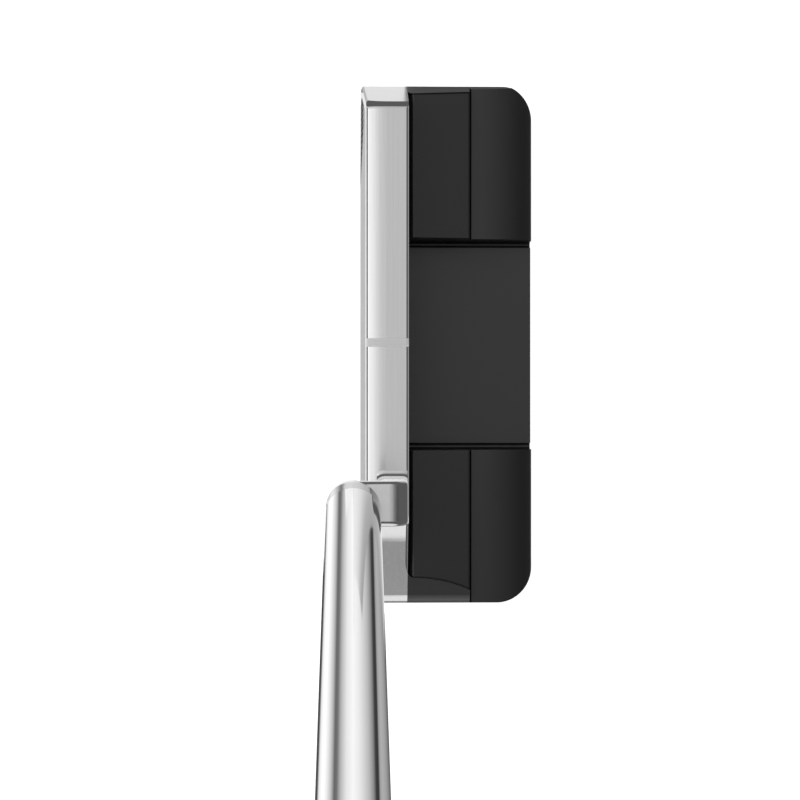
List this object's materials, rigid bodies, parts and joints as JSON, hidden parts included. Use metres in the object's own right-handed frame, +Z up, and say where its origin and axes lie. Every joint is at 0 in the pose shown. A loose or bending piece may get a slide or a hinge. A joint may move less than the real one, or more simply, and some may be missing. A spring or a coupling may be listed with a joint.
{
  "type": "mallet putter",
  "caption": "Right-handed mid-mallet golf putter with a steel face block, black rear body with raised heel and toe pads, crank neck, chrome shaft and pistol grip.",
  "frame": {"origin": "on the ground at the centre of the sole's flat, under the sight line, at mid depth of the head", "axes": "+X from the toe to the heel, +Y from the striking face to the rear of the head, +Z up; the shaft leans towards +X at a 70 degree lie"},
  "size_m": [0.3748, 0.0505, 0.8388],
  "materials": {
    "face_steel": "satin",
    "neck_steel": "satin",
    "body_black": "satin",
    "sight_white": "gloss",
    "insert_plate": "satin",
    "insert_elastomer": "matte",
    "film_clear": "matte",
    "weight_steel": "satin",
    "washer_nylon": "matte",
    "sole_steel": "satin",
    "screw_steel": "satin",
    "dowel_steel": "polished",
    "shaft_chrome": "polished",
    "epoxy": "gloss",
    "tape_paper": "matte",
    "foam_core": "matte",
    "grip_rubber": "matte",
    "cap_rubber": "matte"
  },
  "bodies": {
    "root": {"face_body": "face_steel", "crank_neck": "neck_steel", "sight_line_inlay": "sight_white", "insert_face_plate": "insert_plate", "insert_carrier": "insert_elastomer", "insert_adhesive_film": "film_clear", "rear_body": "body_black", "joint_screws": "screw_steel", "locating_dowels": "dowel_steel", "toe_weight": "weight_steel", "heel_weight": "weight_steel", "weight_washers": "washer_nylon", "sole_plate": "sole_steel", "sole_plate_screws": "screw_steel", "shaft": "shaft_chrome", "shaft_epoxy": "epoxy", "grip_tape": "tape_paper", "grip_underlisting": "foam_core", "grip_skin": "grip_rubber", "grip_cap": "cap_rubber"}
  },
  "joints": []
}
